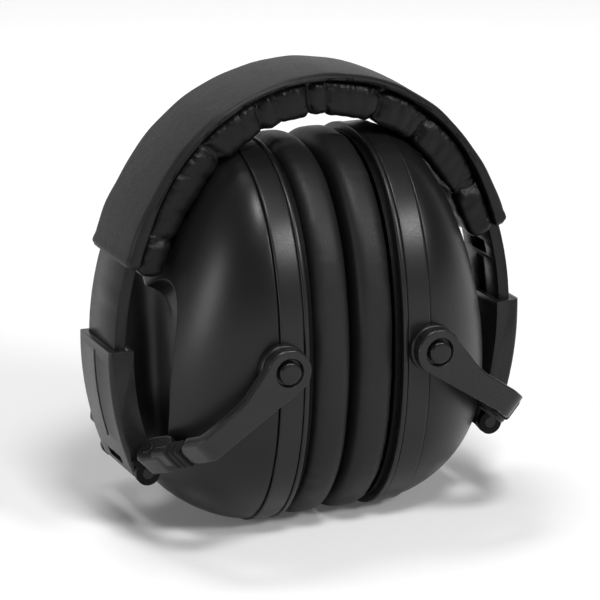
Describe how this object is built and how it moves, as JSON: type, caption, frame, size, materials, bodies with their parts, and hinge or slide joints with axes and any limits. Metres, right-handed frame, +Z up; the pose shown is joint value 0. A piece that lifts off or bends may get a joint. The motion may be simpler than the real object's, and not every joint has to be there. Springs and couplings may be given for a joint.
{
  "type": "earmuff hearing protector",
  "caption": "Folding headband earmuff with deep oval shells, soft ear cushions, wire-style yokes, sliders on a padded spring band; stored pose with the cups turned up inside the band",
  "frame": {"origin": "on the floor under the middle of the headband, between the two ear cushions, with the earmuff standing folded on the lower edges of its cups", "axes": "+X from the left cup to the right cup, +Y from the front yoke arms to the back ones, +Z up from the cups' lower edges to the crown of the band"},
  "size_m": [0.124, 0.0872, 0.128],
  "materials": {
    "strip_plastic": "satin",
    "cover_leather": "semi-matte, fine grain",
    "pad_leather": "puckered, fine grain",
    "bare_steel": "bright",
    "slider_plastic": "satin",
    "knuckle_plastic": "satin",
    "collar_rubber": "ribbed",
    "arm_paint": "satin",
    "pin_paint": "satin",
    "shell_plastic": "satin",
    "ring_plastic": "satin",
    "foam": "open cell foam",
    "plate_plastic": "matte",
    "cushion_leather": "soft, fine grain"
  },
  "bodies": {
    "headband": {"band_strip": "strip_plastic", "band_cover": "cover_leather", "band_pad": "pad_leather", "stop_rivets": "bare_steel"},
    "left_slide_body": {"left_slider": "slider_plastic", "left_detent_spring": "bare_steel"},
    "left_yoke": {"left_fold_pin": "bare_steel", "left_front_knuckle": "knuckle_plastic", "left_back_knuckle": "knuckle_plastic", "left_front_arm": "arm_paint", "left_back_arm": "arm_paint", "left_front_collar": "collar_rubber", "left_back_collar": "collar_rubber", "left_arm_rivets": "pin_paint"},
    "left_cup": {"left_pivot_pins": "pin_paint", "left_shell": "shell_plastic", "left_ring": "ring_plastic", "left_foam": "foam", "left_plate": "plate_plastic", "left_cushion": "cushion_leather"},
    "right_slide_body": {"right_slider": "slider_plastic", "right_detent_spring": "bare_steel"},
    "right_yoke": {"right_fold_pin": "bare_steel", "right_front_knuckle": "knuckle_plastic", "right_back_knuckle": "knuckle_plastic", "right_front_arm": "arm_paint", "right_back_arm": "arm_paint", "right_front_collar": "collar_rubber", "right_back_collar": "collar_rubber", "right_arm_rivets": "pin_paint"},
    "right_cup": {"right_pivot_pins": "pin_paint", "right_shell": "shell_plastic", "right_ring": "ring_plastic", "right_foam": "foam", "right_plate": "plate_plastic", "right_cushion": "cushion_leather"}
  },
  "joints": [
    {"name": "left_slide", "type": "hinge", "parent": "headband", "child": "left_slide_body", "pos_m": [0.028, 0, 0.053], "axis": [0, -1, 0], "range_deg": [0, 10], "deforming": ["left_cushion", "right_cushion"]},
    {"name": "left_fold", "type": "hinge", "parent": "left_slide_body", "child": "left_yoke", "pos_m": [-0.05202, 0, 0.02067], "axis": [0, 1, 0], "range_deg": [0, 105], "deforming": ["left_cushion", "right_cushion"]},
    {"name": "left_cup_pivot", "type": "hinge", "parent": "left_yoke", "child": "left_cup", "pos_m": [-0.0221, 0, 0.054], "axis": [0, -1, 0], "range_deg": [0, 94.5], "deforming": ["left_cushion", "right_cushion"]},
    {"name": "right_slide", "type": "hinge", "parent": "headband", "child": "right_slide_body", "pos_m": [-0.028, 0, 0.053], "axis": [0, 1, 0], "range_deg": [0, 10], "deforming": ["left_cushion", "right_cushion"]},
    {"name": "right_fold", "type": "hinge", "parent": "right_slide_body", "child": "right_yoke", "pos_m": [0.05202, 0, 0.02067], "axis": [0, -1, 0], "range_deg": [0, 105], "deforming": ["left_cushion", "right_cushion"]},
    {"name": "right_cup_pivot", "type": "hinge", "parent": "right_yoke", "child": "right_cup", "pos_m": [0.0221, 0, 0.054], "axis": [0, 1, 0], "range_deg": [0, 94.5], "deforming": ["left_cushion", "right_cushion"]}
  ],
  "couplings": [
    {"joint": "left_cup_pivot", "follows": "left_fold", "ratio": 0.9},
    {"joint": "right_cup_pivot", "follows": "right_fold", "ratio": 0.9}
  ]
}
